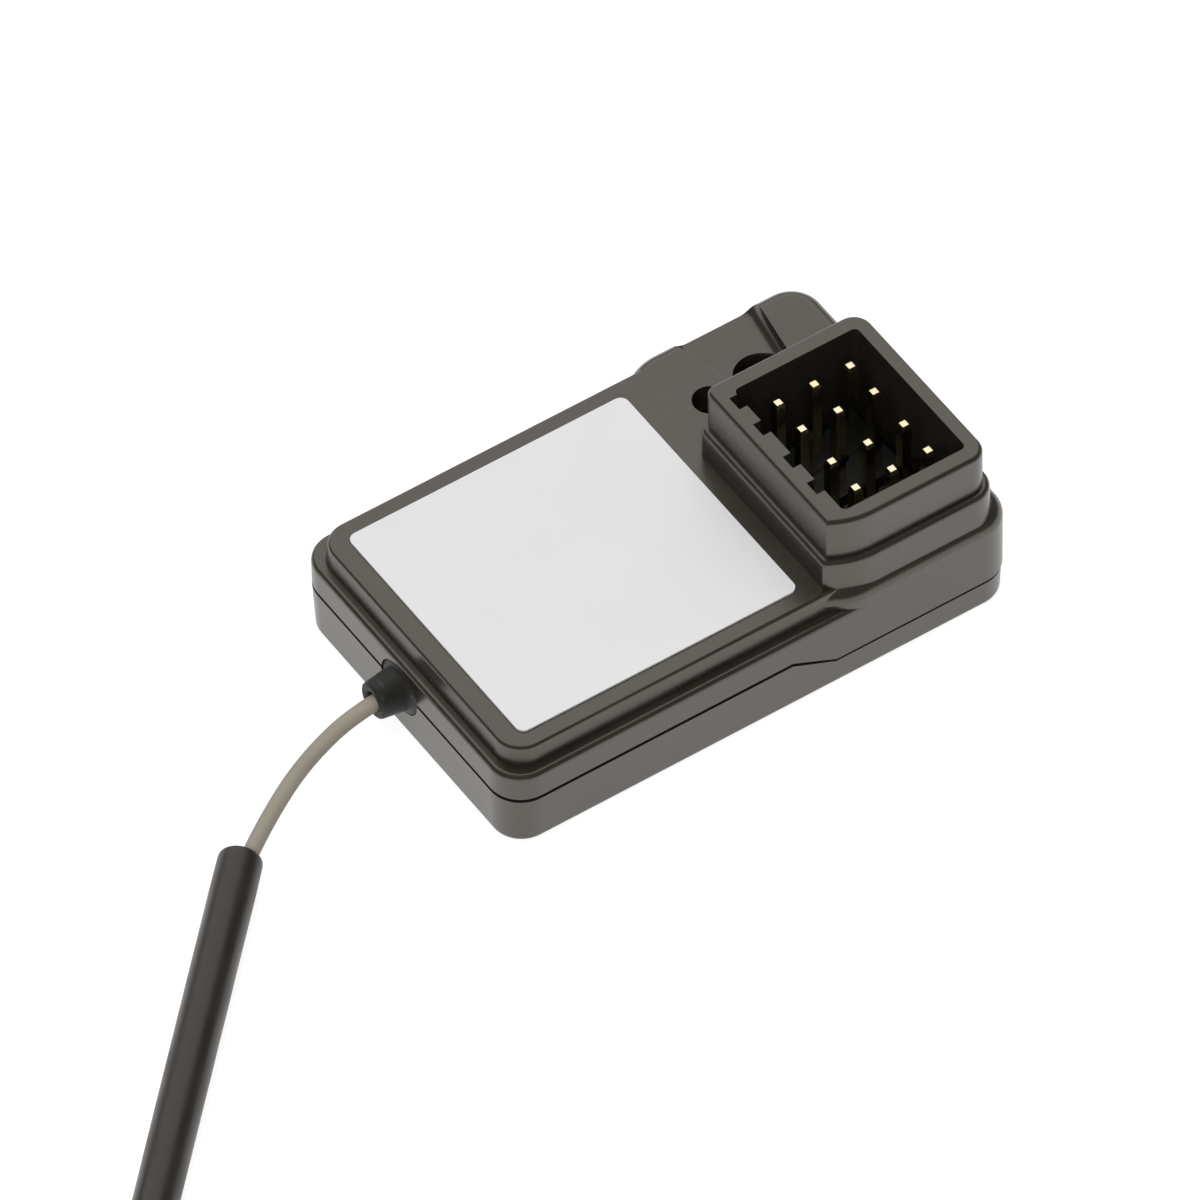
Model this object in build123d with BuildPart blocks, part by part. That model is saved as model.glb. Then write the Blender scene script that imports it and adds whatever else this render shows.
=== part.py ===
"""Radio-control receiver with three servo channels and one battery channel.

A two-part moulded case closes over a circuit board. The upper shell carries the keyed
socket that the servo plugs push into, over four rows of three header pins. A rubber
grommet at the other end lets out a thin coaxial lead, which ends in the antenna's sleeve.

Millimetres, +Z up. The origin is the middle of the case's underside. +X runs from the
antenna end to the socket end, and +Y towards the long side with the screw.
"""

import os
from math import atan, cos, degrees, radians, sin, tan

from build123d import *

# Case, seen from above
CASE_LENGTH = 35.5
CASE_WIDTH = 22.3
CASE_CORNER = 2.1
WALL = 0.95
FLOOR = 0.9
OVERSHOOT = 1.0
LOWER_DRAFT = 2.5
UNDERSIDE_EDGE = 0.4

# Parting line between the shells: high at the antenna end, low at the socket end
SEAM_HIGH = 3.65
SEAM_LOW = 2.05
JOG_TO_END = 15.8
JOG_LENGTH = 3.1
SEAM_GROOVE = 0.26
SEAM_GROOVE_DEPTH = 0.4
LIP_THICKNESS = 0.35
LIP_RISE = 0.7
LIP_CLEARANCE = 0.05

# Upper shell: a ledge round the antenna end, then the plateau that holds the label
LEDGE_HEIGHT = 5.85
LEDGE_EDGE = 0.32
PLATEAU_HEIGHT = 7.3
PLATEAU_SIDE_INSET = 0.9
PLATEAU_END_INSET = 0.81
PLATEAU_CORNER = 1.7
PLATEAU_DRAFT = 7.0
PLATEAU_EDGE = 0.22
ROOF = 0.9

# Socket end: the ledge runs out and the side walls rise to a well rounded edge
BLEND_TO_END = 13.95
BLEND_LENGTH = 3.4
END_EDGE = 1.0

# Case screw, in a scooped recess that opens to the long side
SCREW_TO_END = 5.85
SCREW_TO_SIDE = 4.55
RECESS_HEIGHT = 6.3
RECESS_ROOF = 1.0
RECESS_INNER_END = 2.3
RECESS_INNER_LEFT = 2.1
RECESS_INNER_RIGHT = 1.5
RECESS_OUTER_END = 5.55
RECESS_OUTER_LEFT = 3.55
RECESS_OUTER_RIGHT = 2.72
RECESS_CORNER = 1.4
RECESS_COVE = 0.9
HEAD_RADIUS = 1.5
HEAD_HEIGHT = 1.1
HEAD_TOP = 5.85
HEAD_CLEARANCE = 0.23
SHANK_RADIUS = 0.8
SHANK_CLEARANCE = 0.2
SCREW_TIP = 1.1
TIP_CLEARANCE = 0.1
HEAD_DOME = 0.4
BOSS_WALL = 0.6
CROSS_LENGTH = 1.7
CROSS_WIDTH = 0.42
CROSS_DEPTH = 0.6

# Round status window
WINDOW_TO_END = 9.95
WINDOW_TO_SIDE = 5.15
WINDOW_RADIUS = 1.07

# Servo socket: an upper tier on a wider lower tier, both flush on the screw's side
SOCKET_HEIGHT = 12.5
TIER_HEIGHT = 9.45
TIER_STEP = 0.42
TIER_DRAFT = 1.5
SOCKET_LENGTH = 10.98
SOCKET_WIDTH = 13.46
SOCKET_TO_END = 1.34
SOCKET_TO_SIDE = 0.79
SOCKET_CORNER = 1.2
SOCKET_BOW = 5.1
BOW_REACH = 2.3
INNER_CORNER = 0.65
SOCKET_EDGE = 0.32
TIER_EDGE = 0.35
RIM_KEYED = 1.36
RIM_RIGHT = 0.97
RIM_NEAR = 1.07
RIM_FAR = 1.1
MOUTH_CORNER = 0.35
KEY_DEPTH = 0.55
KEY_WIDTH = 1.05
KEY_OFFSET = 0.8
KEY_FLOOR = 6.5

# Header pins: three along X for each channel, the channels in two close pairs along Y
PIN_PITCH = 2.54
PIN_SIDE = 0.64
PIN_TIP = 11.75
PIN_TAIL = 1.2
PIN_POINT = 0.25
PIN_POINT_SIDE = 0.42
PINS_TO_END = 6.43
CHANNEL_PITCH = 2.45
PAIR_PITCH = 5.5
CHANNELS_TO_SIDE = 7.48
BASE_WIDTH = 2.4
BASE_HEIGHT = 2.54
BASE_CHAMFER = 0.35

# Circuit board and what holds it
BOARD_BOTTOM = 2.2
BOARD_THICKNESS = 0.8
BOARD_CLEARANCE = 0.3
BOARD_CORNER = 1.0
PIN_HOLE_RADIUS = 0.5
SOLDER_RADIUS = 0.8
SOLDER_HEIGHT = 0.6
SOLDER_SLOPE = 30
POST_RADIUS = 0.9
POST_TO_END = 3.55
POST_TO_SIDE = 2.85
FRONT_POST_TO_END = 2.35
FRONT_POST_TO_SIDE = 2.35

# Antenna: grommet clamped on the parting line, coaxial lead and heat-shrunk sleeve
LEAD_Y = 0.5
LEAD_DIAMETER = 1.13
CORE_RADIUS = 0.33
GROMMET_REACH = 1.9
GROMMET_COLLAR = 0.38
GROMMET_TIP_RADIUS = 1.2
GROMMET_BASE_RADIUS = 1.38
GROMMET_NECK_RADIUS = 1.15
GROMMET_FLANGE_RADIUS = 1.6
GROMMET_FLANGE = 0.6
GROMMET_EDGE = 0.18
RELIEF_RADIUS = 1.85
RELIEF_DEPTH = 0.35
NOTCH_WIDTH = 4.0
NOTCH_DEPTH = 0.5
JACKET_INSIDE = 1.75
CORE_LENGTH = 2.5
SHIELD_JOINT = 2.75
SHIELD_JOINT_RADIUS = 1.0
CORE_JOINT = 4.05
CORE_JOINT_RADIUS = 0.8
LEAD_CORNERS = [(-20.4, 0.5, SEAM_HIGH), (-25.2, -0.45, 3.05), (-29.0, -2.15, 1.75)]
CORNER_SHARE = 0.45
SLEEVE_MOUTH_X = -31.29
SLEEVE_MOUTH_Y = -3.42
SLEEVE_HEADING = 226.17
SLEEVE_LIFT = 0.01
SLEEVE_LENGTH = 32.0
SLEEVE_MOUTH_RADIUS = 1.22
SLEEVE_END_RADIUS = 1.38
SLEEVE_BORE_RADIUS = 1.03
SLEEVE_GRIP_START = 25.0
SLEEVE_GRIP = 27.0
SLEEVE_DOME = 0.7
LEAD_TURN_IN_SLEEVE = 2.0
LEAD_IN_SLEEVE = 30.0

# Blank label
LABEL_END_MARGIN = 1.32
LABEL_SIDE_MARGIN = 1.15
LABEL_TO_SOCKET_END = 13.97
LABEL_THICKNESS = 0.12
LABEL_CORNER = 0.55

# Parts on the board: length, width, height and where they sit
RADIO_CHIP = (4.0, 4.0, 0.85)
RADIO_CHIP_PLACE = (-6.8, 0.5)
CHIP_MARK_OFFSET = 1.4
CHIP_MARK_RADIUS = 0.2
CHIP_MARK_DEPTH = 0.1
CRYSTAL = (3.2, 2.5, 0.8)
CRYSTAL_PLACE = (-7.0, 5.6)
CRYSTAL_LID_INSET = 0.3
CONTROLLER = (7.0, 7.0, 1.0)
CONTROLLER_PLACE = (0.8, -1.8)
CONTROLLER_LEADS = 8
CONTROLLER_LEAD_PITCH = 0.8
CONTROLLER_LEAD_WIDTH = 0.35
REGULATOR = (6.5, 3.5, 1.6)
REGULATOR_PLACE = (-1.0, 6.3)
REGULATOR_LEAD_PITCH = 2.3
REGULATOR_LEAD_WIDTH = 0.7
REGULATOR_TAB = 3.0
CONTROLLER_LEAD_RISE = 0.6
REGULATOR_LEAD_RISE = 0.9
CONTROLLER_BEVEL = 0.12
REGULATOR_BEVEL = 0.2
LEAD_REACH = 1.0
LEAD_KNEE = 0.35
LEAD_THICKNESS = 0.15
STAND_OFF = 0.08
INPUT_CAPACITOR = (3.5, 2.8, 1.9)
INPUT_CAPACITOR_PLACE = (2.5, -8.1)
CERAMIC = (1.6, 0.8, 0.8)
CERAMIC_PLACES = [(-10.4, -3.2), (-7.0, -3.4), (-10.8, 3.6), (-3.6, -8.2), (5.4, 4.4), (-6.9, 8.6)]
RESISTOR = (1.6, 0.8, 0.45)
RESISTOR_PLACES = [(-6.2, -6.0), (-6.2, -8.2), (-9.2, -6.0), (-9.2, -8.2), (5.4, 6.4), (5.4, 8.2)]
INDUCTOR = (1.0, 0.55, 0.5)
INDUCTOR_PLACES = [(-10.2, 0.5), (-10.2, 1.7), (-10.2, -0.7)]
LED = (2.0, 1.25, 0.5)
LED_LENS_RADIUS = 0.5
LED_LENS_HEIGHT = 0.3
LED_LENS_SLOPE = 15
TERMINAL_SHARE = 0.22
TERMINAL_STEP = 0.04

# Values that follow from the sizes above
half_length = CASE_LENGTH / 2
half_width = CASE_WIDTH / 2
jog_start = half_length - JOG_TO_END
jog_end = jog_start + JOG_LENGTH
blend_start = half_length - BLEND_TO_END
blend_end = blend_start + BLEND_LENGTH
plateau_left = PLATEAU_END_INSET - half_length
plateau_side = half_width - PLATEAU_SIDE_INSET
board_top = BOARD_BOTTOM + BOARD_THICKNESS
board_inset = WALL + BOARD_CLEARANCE
lead_radius = LEAD_DIAMETER / 2
far_reach = CASE_LENGTH + CASE_WIDTH
shallow_roof = RECESS_HEIGHT - RECESS_ROOF
screw_x = half_length - SCREW_TO_END
screw_y = half_width - SCREW_TO_SIDE
head_seat = HEAD_TOP - HEAD_HEIGHT
counterbore_radius = HEAD_RADIUS + HEAD_CLEARANCE
shank_hole_radius = SHANK_RADIUS + SHANK_CLEARANCE
boss_radius = counterbore_radius + BOSS_WALL
window_place = (half_length - WINDOW_TO_END, half_width - WINDOW_TO_SIDE)
socket_right = half_length - SOCKET_TO_END
socket_left = socket_right - SOCKET_LENGTH
socket_near = SOCKET_TO_SIDE - half_width
socket_far = socket_near + SOCKET_WIDTH
mouth_left = socket_left + RIM_KEYED
mouth_right = socket_right - RIM_RIGHT
mouth_near = socket_near + RIM_NEAR
mouth_far = socket_far - RIM_FAR
pins_x = half_length - PINS_TO_END
channel_rows = [
    CHANNELS_TO_SIDE - half_width + side * PAIR_PITCH / 2 + inner * CHANNEL_PITCH / 2
    for side in (1, -1)
    for inner in (1, -1)
]
channel_names = ["channel_1", "channel_2", "channel_3", "battery"]
rear_posts = [
    (POST_TO_END - half_length, half_width - POST_TO_SIDE),
    (POST_TO_END - half_length, POST_TO_SIDE - half_width),
]
front_post = (half_length - FRONT_POST_TO_END, FRONT_POST_TO_SIDE - half_width)
label_left = plateau_left + LABEL_END_MARGIN
label_right = half_length - LABEL_TO_SOCKET_END
lead_inner_end = JACKET_INSIDE - half_length
sleeve_slope = (SLEEVE_END_RADIUS - SLEEVE_MOUTH_RADIUS) / SLEEVE_LENGTH
sleeve_heading = Vector(
    cos(radians(SLEEVE_HEADING)), sin(radians(SLEEVE_HEADING)), sleeve_slope
).normalized()
sleeve_mouth = Vector(SLEEVE_MOUTH_X, SLEEVE_MOUTH_Y, SLEEVE_MOUTH_RADIUS + SLEEVE_LIFT)
lead_route = [
    Vector(lead_inner_end, LEAD_Y, SEAM_HIGH),
    *[Vector(*corner) for corner in LEAD_CORNERS],
    sleeve_mouth + sleeve_heading * LEAD_TURN_IN_SLEEVE,
    sleeve_mouth + sleeve_heading * LEAD_IN_SLEEVE,
]

os.makedirs("parts", exist_ok=True)
finished = []


def case_plan(inset):
    """The case's outline from above, moved inwards."""
    RectangleRounded(
        CASE_LENGTH - 2 * inset, CASE_WIDTH - 2 * inset, CASE_CORNER - inset
    )


def plain_box(left, right, near, far):
    """A rectangle between two X and two Y values."""
    with Locations(((left + right) / 2, (near + far) / 2)):
        Rectangle(right - left, far - near)


def below_seam(rise):
    """All that lies under the parting line, raised by rise."""
    with BuildPart() as block:
        with BuildSketch(Plane.XZ):
            with BuildLine():
                Polyline(
                    (-far_reach, -far_reach),
                    (-far_reach, SEAM_HIGH + rise),
                    (jog_start, SEAM_HIGH + rise),
                    (jog_end, SEAM_LOW + rise),
                    (far_reach, SEAM_LOW + rise),
                    (far_reach, -far_reach),
                    close=True,
                )
            make_face()
        extrude(amount=far_reach, both=True)
    return block.part


def lip_ring(clearance):
    """The tongue inside the lower wall that the upper shell fits over."""
    with BuildPart() as ring:
        with BuildSketch(Plane.XY.offset(FLOOR)):
            case_plan(WALL - LIP_THICKNESS - clearance)
            with BuildSketch(Plane.XY.offset(FLOOR), mode=Mode.SUBTRACT):
                case_plan(WALL)
        extrude(amount=SEAM_HIGH + LIP_RISE + clearance - FLOOR)
        add(below_seam(LIP_RISE + clearance), mode=Mode.INTERSECT)
    return ring.part


def seam_groove():
    """The shadow line that shows round the case where the shells meet."""
    with BuildPart() as groove:
        with BuildSketch(Plane.XY):
            case_plan(-OVERSHOOT)
            with BuildSketch(Plane.XY, mode=Mode.SUBTRACT):
                case_plan(SEAM_GROOVE_DEPTH)
        extrude(amount=PLATEAU_HEIGHT)
        add(below_seam(SEAM_GROOVE), mode=Mode.INTERSECT)
        add(below_seam(0), mode=Mode.SUBTRACT)
    return groove.part


def skirt():
    """The antenna end's walls up to the ledge, running on into the socket end."""
    with BuildPart() as block:
        with BuildSketch(Plane.XY.offset(SEAM_LOW)):
            case_plan(0)
        extrude(amount=LEDGE_HEIGHT - SEAM_LOW)
        fillet(block.edges().group_by(Axis.Z)[-1], LEDGE_EDGE)
        with BuildSketch(Plane.XY):
            plain_box(-half_length, blend_end + OVERSHOOT, -half_width, half_width)
        extrude(amount=LEDGE_HEIGHT, mode=Mode.INTERSECT)
    return block.part


def plateau():
    """The raised middle with drafted sides, from the antenna end to the blend."""
    with BuildPart() as block:
        with BuildSketch(Plane.XY.offset(PLATEAU_HEIGHT)) as top:
            plain_box(plateau_left, blend_end, -plateau_side, plateau_side)
            fillet(top.vertices().group_by(Axis.X)[0], PLATEAU_CORNER)
        extrude(amount=-(PLATEAU_HEIGHT - SEAM_HIGH), taper=-PLATEAU_DRAFT)
        fillet(block.edges().group_by(Axis.Z)[-1], PLATEAU_EDGE)
    return block.part


def socket_end_plan():
    """The outline of the socket end, whose sides swing out from the plateau to the walls."""
    middle = ((blend_start + blend_end) / 2, (plateau_side + half_width) / 2)
    with BuildSketch(mode=Mode.PRIVATE) as plan:
        with BuildLine():
            first = TangentArc((blend_start, plateau_side), middle, tangent=(1, 0))
            second = TangentArc(first @ 1, (blend_end, half_width), tangent=first % 1)
            wall = Line(second @ 1, (half_length - CASE_CORNER, half_width))
            corner = TangentArc(
                wall @ 1, (half_length, half_width - CASE_CORNER), tangent=(1, 0)
            )
            Polyline(corner @ 1, (half_length, 0), (blend_start, 0), first @ 0)
        make_face()
        mirror(about=Plane.XZ)
    return plan.sketch


def end_block(height):
    """The socket end, solid up to a height, with its top edge well rounded."""
    with BuildPart() as block:
        with BuildSketch(Plane.XY.offset(height)):
            add(socket_end_plan())
        extrude(amount=-(height - SEAM_LOW))
        fillet(block.edges().group_by(Axis.Z)[-1], END_EDGE)
    return block.part


def screw_recess():
    """The scoop round the screw, with a coved foot, open to the long side."""
    inner = screw_y - RECESS_INNER_END
    outer = screw_y + RECESS_OUTER_END
    with BuildPart() as scoop:
        with BuildSketch(Plane.XY.offset(RECESS_HEIGHT)) as plan:
            with BuildLine():
                Polyline(
                    (screw_x - RECESS_INNER_LEFT, inner),
                    (screw_x + RECESS_INNER_RIGHT, inner),
                    (screw_x + RECESS_OUTER_RIGHT, outer),
                    (screw_x - RECESS_OUTER_LEFT, outer),
                    close=True,
                )
            make_face()
            fillet(plan.vertices(), RECESS_CORNER)
        extrude(amount=PLATEAU_HEIGHT)
        fillet(scoop.edges().group_by(Axis.Z)[0], RECESS_COVE)
    return scoop.part


def socket_plan(grow):
    """The socket's outline: bowed towards the keyed side, which is cut off flat."""
    left = socket_left - grow
    with BuildSketch(mode=Mode.PRIVATE) as plan:
        plain_box(left - BOW_REACH, socket_right + grow, socket_near - grow, socket_far)
        fillet(plan.vertices().group_by(Axis.X)[-1], SOCKET_CORNER + grow)
        bowed = plan.vertices().group_by(Axis.X)[0].sort_by(Axis.Y)[0]
        fillet(bowed, SOCKET_BOW + grow)
        with BuildSketch(mode=Mode.INTERSECT):
            plain_box(left, far_reach, -far_reach, far_reach)
        inner = plan.vertices().group_by(Axis.X)[0].sort_by(Axis.Y)[-1]
        fillet(inner, INNER_CORNER)
    return plan.sketch


def socket_tier(top, grow, edge, draft):
    """One tier of the socket, solid down to the recess, with a rounded top edge."""
    with BuildPart() as block:
        with BuildSketch(Plane.XY.offset(top)):
            add(socket_plan(grow))
        extrude(amount=-(top - RECESS_HEIGHT), taper=-draft)
        fillet(block.edges().group_by(Axis.Z)[-1], edge)
    return block.part


def socket_mouth():
    """The hollow that the plugs push into, with a key slot for each plug."""
    with BuildPart() as hollow:
        with BuildSketch(Plane.XY.offset(SOCKET_HEIGHT)) as mouth:
            plain_box(mouth_left, mouth_right, mouth_near, mouth_far)
            fillet(mouth.vertices(), MOUTH_CORNER)
        extrude(amount=-(SOCKET_HEIGHT - shallow_roof))
        with BuildSketch(Plane.XY.offset(SOCKET_HEIGHT)):
            for row in channel_rows:
                key = row + KEY_OFFSET
                plain_box(
                    mouth_left - KEY_DEPTH,
                    mouth_left + KEY_DEPTH,
                    max(key - KEY_WIDTH / 2, mouth_near),
                    min(key + KEY_WIDTH / 2, mouth_far),
                )
        extrude(amount=-(SOCKET_HEIGHT - KEY_FLOOR))
    return hollow.part


def grommet_seat():
    """The hole on the parting line for the grommet's neck, with a shallow relief outside."""
    outside = Plane.YZ.offset(-half_length - OVERSHOOT)
    with BuildPart() as seat:
        with BuildSketch(outside):
            with Locations((LEAD_Y, SEAM_HIGH)):
                Circle(GROMMET_NECK_RADIUS)
        extrude(amount=OVERSHOOT + 2 * WALL)
        with BuildSketch(outside):
            with Locations((LEAD_Y, SEAM_HIGH)):
                Circle(RELIEF_RADIUS)
        extrude(amount=OVERSHOOT + RELIEF_DEPTH)
    return seat.part


def chip(size, places):
    """Small two-ended parts on the board, each with a terminal round either end."""
    length, width, height = size
    terminal = length * TERMINAL_SHARE
    centre = board_top + height / 2
    with BuildPart() as group:
        with Locations(*[(x, y, centre) for x, y in places]):
            Box(length - terminal, width - 2 * TERMINAL_STEP, height - 2 * TERMINAL_STEP)
            with Locations((terminal / 2 - length / 2, 0), (length / 2 - terminal / 2, 0)):
                Box(terminal, width, height)
    return group.part


def bent_leads(body, width, offsets, rise):
    """Bent metal leads along one side of a body centred on the board's origin."""
    shoulder = board_top + rise
    start = body / 2 - LEAD_THICKNESS
    knee = body / 2 + LEAD_KNEE
    with BuildPart() as leads:
        with BuildSketch(Plane.XZ):
            with BuildLine():
                Polyline(
                    (start, shoulder),
                    (knee, shoulder),
                    (knee + LEAD_THICKNESS, board_top + LEAD_THICKNESS),
                    (body / 2 + LEAD_REACH, board_top + LEAD_THICKNESS),
                    (body / 2 + LEAD_REACH, board_top),
                    (knee, board_top),
                    (knee - LEAD_THICKNESS, shoulder - LEAD_THICKNESS),
                    (start, shoulder - LEAD_THICKNESS),
                    close=True,
                )
            make_face()
        extrude(amount=width / 2, both=True)
    single = leads.part
    with BuildPart() as row:
        with Locations(*[(0, offset) for offset in offsets]):
            add(single)
    return row.part


def raised_body(size, place, bevel):
    """A moulded body that stands just off the board on its leads."""
    with BuildPart() as body:
        with BuildSketch(Plane.XY.offset(board_top + STAND_OFF)):
            with Locations(place):
                Rectangle(size[0], size[1])
        extrude(amount=size[2])
        chamfer(body.edges().group_by(Axis.Z)[-1], bevel)
    return body.part


def finish(part, name):
    """Label a finished piece and write it."""
    part.label = name
    export_step(part, f"parts/{name}.step")
    finished.append(part)


# Lower shell: a drafted tray with the tongue, the board's posts and the screw's boss
foot_inset = SEAM_HIGH * tan(radians(LOWER_DRAFT))
with BuildPart() as lower_shell:
    with BuildSketch(Plane.XY):
        case_plan(foot_inset)
    extrude(amount=SEAM_HIGH, taper=-LOWER_DRAFT)
    fillet(lower_shell.edges().group_by(Axis.Z)[0], UNDERSIDE_EDGE)
    with BuildSketch(Plane.XY.offset(FLOOR)):
        case_plan(WALL)
    extrude(amount=SEAM_HIGH, mode=Mode.SUBTRACT)
    add(below_seam(0), mode=Mode.INTERSECT)
    add(lip_ring(0))
    with BuildSketch(Plane.XY.offset(FLOOR)):
        with Locations(*rear_posts, front_post):
            Circle(POST_RADIUS)
        with Locations((screw_x, screw_y)):
            Circle(boss_radius)
    extrude(amount=BOARD_BOTTOM - FLOOR)
    with BuildSketch(Plane.XY.offset(BOARD_BOTTOM)):
        with Locations((screw_x, screw_y)):
            Circle(SHANK_RADIUS)
    extrude(amount=-(BOARD_BOTTOM - SCREW_TIP), mode=Mode.SUBTRACT)
    add(grommet_seat(), mode=Mode.SUBTRACT)
finish(lower_shell.part, "lower_shell")

# Upper shell: skirt, plateau, socket end and the two-tier socket, then its hollows
with BuildPart() as upper_shell:
    add(end_block(PLATEAU_HEIGHT))
    add(screw_recess(), mode=Mode.SUBTRACT)
    add(end_block(RECESS_HEIGHT))
    add(skirt())
    add(plateau())
    add(socket_tier(TIER_HEIGHT, TIER_STEP, TIER_EDGE, TIER_DRAFT))
    add(socket_tier(SOCKET_HEIGHT, 0, SOCKET_EDGE, 0))
    with BuildSketch(Plane.XY.offset(SEAM_LOW)):
        case_plan(WALL)
    extrude(amount=shallow_roof - SEAM_LOW, mode=Mode.SUBTRACT)
    with BuildSketch(Plane.XY.offset(shallow_roof)):
        roof_side = plateau_side - WALL
        plain_box(plateau_left + WALL, blend_start, -roof_side, roof_side)
    extrude(amount=PLATEAU_HEIGHT - ROOF - shallow_roof, mode=Mode.SUBTRACT)
    with BuildSketch(Plane.XY.offset(board_top)):
        with Locations(*rear_posts):
            Circle(POST_RADIUS)
    extrude(amount=PLATEAU_HEIGHT - ROOF - board_top)
    with BuildSketch(Plane.XY.offset(board_top)):
        with Locations((screw_x, screw_y)):
            Circle(boss_radius)
    extrude(amount=shallow_roof - board_top)
    add(socket_mouth(), mode=Mode.SUBTRACT)
    with BuildSketch(Plane.XY.offset(PLATEAU_HEIGHT)):
        with Locations(window_place):
            Circle(WINDOW_RADIUS)
    extrude(amount=-(PLATEAU_HEIGHT - shallow_roof), mode=Mode.SUBTRACT)
    with BuildSketch(Plane.XY.offset(PLATEAU_HEIGHT)):
        with Locations((screw_x, screw_y)):
            Circle(counterbore_radius)
    extrude(amount=-(PLATEAU_HEIGHT - head_seat), mode=Mode.SUBTRACT)
    with BuildSketch(Plane.XY.offset(head_seat)):
        with Locations((screw_x, screw_y)):
            Circle(shank_hole_radius)
    extrude(amount=-(head_seat - board_top), mode=Mode.SUBTRACT)
    add(below_seam(0), mode=Mode.SUBTRACT)
    add(lip_ring(LIP_CLEARANCE), mode=Mode.SUBTRACT)
    add(seam_groove(), mode=Mode.SUBTRACT)
    add(grommet_seat(), mode=Mode.SUBTRACT)
finish(upper_shell.part, "upper_shell")

# Label
with BuildPart() as case_label:
    with BuildSketch(Plane.XY.offset(PLATEAU_HEIGHT)):
        label_width = 2 * (plateau_side - LABEL_SIDE_MARGIN)
        with Locations(((label_left + label_right) / 2, 0)):
            RectangleRounded(label_right - label_left, label_width, LABEL_CORNER)
    extrude(amount=LABEL_THICKNESS)
finish(case_label.part, "case_label")

# Case screw: a domed head with a cross recess, and a shank that cuts into the lower boss
with BuildPart() as case_screw:
    with BuildSketch(Plane.XY.offset(head_seat)):
        with Locations((screw_x, screw_y)):
            Circle(HEAD_RADIUS)
    extrude(amount=HEAD_HEIGHT)
    fillet(case_screw.edges().group_by(Axis.Z)[-1], HEAD_DOME)
    with BuildSketch(Plane.XY.offset(HEAD_TOP)):
        with Locations((screw_x, screw_y)):
            Rectangle(CROSS_LENGTH, CROSS_WIDTH)
            Rectangle(CROSS_WIDTH, CROSS_LENGTH)
    extrude(amount=-CROSS_DEPTH, mode=Mode.SUBTRACT)
    with BuildSketch(Plane.XY.offset(head_seat)):
        with Locations((screw_x, screw_y)):
            Circle(SHANK_RADIUS)
    extrude(amount=-(head_seat - SCREW_TIP - TIP_CLEARANCE))
finish(case_screw.part, "case_screw")

# Circuit board
with BuildPart() as circuit_board:
    with BuildSketch(Plane.XY.offset(BOARD_BOTTOM)):
        RectangleRounded(
            CASE_LENGTH - 2 * board_inset, CASE_WIDTH - 2 * board_inset, BOARD_CORNER
        )
        with Locations((board_inset - half_length, LEAD_Y)):
            Rectangle(2 * NOTCH_DEPTH, NOTCH_WIDTH, mode=Mode.SUBTRACT)
        with Locations((screw_x, screw_y)):
            Circle(shank_hole_radius, mode=Mode.SUBTRACT)
        for row in channel_rows:
            with Locations((pins_x, row)):
                with GridLocations(PIN_PITCH, 1, 3, 1):
                    Circle(PIN_HOLE_RADIUS, mode=Mode.SUBTRACT)
    extrude(amount=BOARD_THICKNESS)
finish(circuit_board.part, "circuit_board")

# Header for each channel: a moulded base and its three pins, with points at both ends
point_slope = degrees(atan((PIN_SIDE - PIN_POINT_SIDE) / 2 / PIN_POINT))
for row, channel in zip(channel_rows, channel_names):
    with BuildPart() as header_base:
        with BuildSketch(Plane.XY.offset(board_top)):
            with Locations((pins_x, row)):
                with GridLocations(PIN_PITCH, 1, 3, 1):
                    with BuildSketch(mode=Mode.PRIVATE) as cell:
                        Rectangle(PIN_PITCH, BASE_WIDTH)
                        chamfer(cell.vertices(), BASE_CHAMFER)
                    add(cell.sketch)
                Rectangle(3 * PIN_PITCH - 4 * BASE_CHAMFER, BASE_WIDTH - 2 * BASE_CHAMFER)
                with GridLocations(PIN_PITCH, 1, 3, 1):
                    Rectangle(PIN_SIDE, PIN_SIDE, mode=Mode.SUBTRACT)
        extrude(amount=BASE_HEIGHT)
    finish(header_base.part, f"{channel}_base")
    with BuildPart() as header_pins:
        with BuildSketch(Plane.XY.offset(PIN_TAIL + PIN_POINT)):
            with Locations((pins_x, row)):
                with GridLocations(PIN_PITCH, 1, 3, 1):
                    Rectangle(PIN_SIDE, PIN_SIDE)
        extrude(amount=PIN_TIP - PIN_TAIL - 2 * PIN_POINT)
        extrude(header_pins.faces().group_by(Axis.Z)[-1], amount=PIN_POINT, taper=point_slope)
        extrude(header_pins.faces().group_by(Axis.Z)[0], amount=PIN_POINT, taper=point_slope)
    finish(header_pins.part, f"{channel}_pins")

# Solder joints under the board
with BuildPart() as header_solder:
    with BuildSketch(Plane.XY.offset(BOARD_BOTTOM)):
        for row in channel_rows:
            with Locations((pins_x, row)):
                with GridLocations(PIN_PITCH, 1, 3, 1):
                    Circle(SOLDER_RADIUS)
    extrude(amount=-SOLDER_HEIGHT, taper=SOLDER_SLOPE)
    with BuildSketch(Plane.XY.offset(BOARD_BOTTOM)):
        for row in channel_rows:
            with Locations((pins_x, row)):
                with GridLocations(PIN_PITCH, 1, 3, 1):
                    Rectangle(PIN_SIDE, PIN_SIDE)
    extrude(amount=-SOLDER_HEIGHT, mode=Mode.SUBTRACT)
finish(header_solder.part, "header_solder")

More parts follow.
